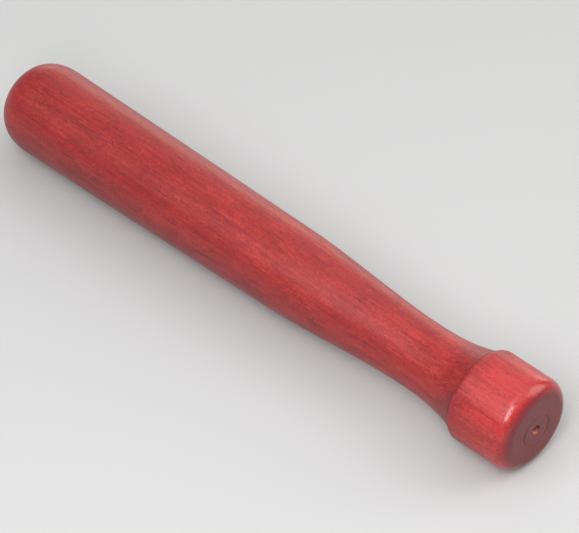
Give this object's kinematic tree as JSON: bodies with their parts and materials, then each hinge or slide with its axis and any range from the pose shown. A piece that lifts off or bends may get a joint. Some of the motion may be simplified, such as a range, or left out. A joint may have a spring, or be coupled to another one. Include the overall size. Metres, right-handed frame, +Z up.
{
  "type": "clave",
  "caption": "Solid turned hardwood stick with a domed head, a long tapered body, a waist to hold and a knob at the butt, stained red; struck against a second stick.",
  "frame": {"origin": "on the resting plane, under the middle of the stick's length", "axes": "+X along the stick, from the domed head to the butt; +Z up from the surface it lies on. The stick's turning axis is parallel to X, 14 mm above the origin"},
  "size_m": [0.201, 0.028, 0.028],
  "materials": {
    "stained_hardwood": "red penetrating stain under a thin satin varnish, with open pores along the grain"
  },
  "bodies": {
    "root": {"clave_stick": "stained_hardwood"}
  },
  "joints": []
}
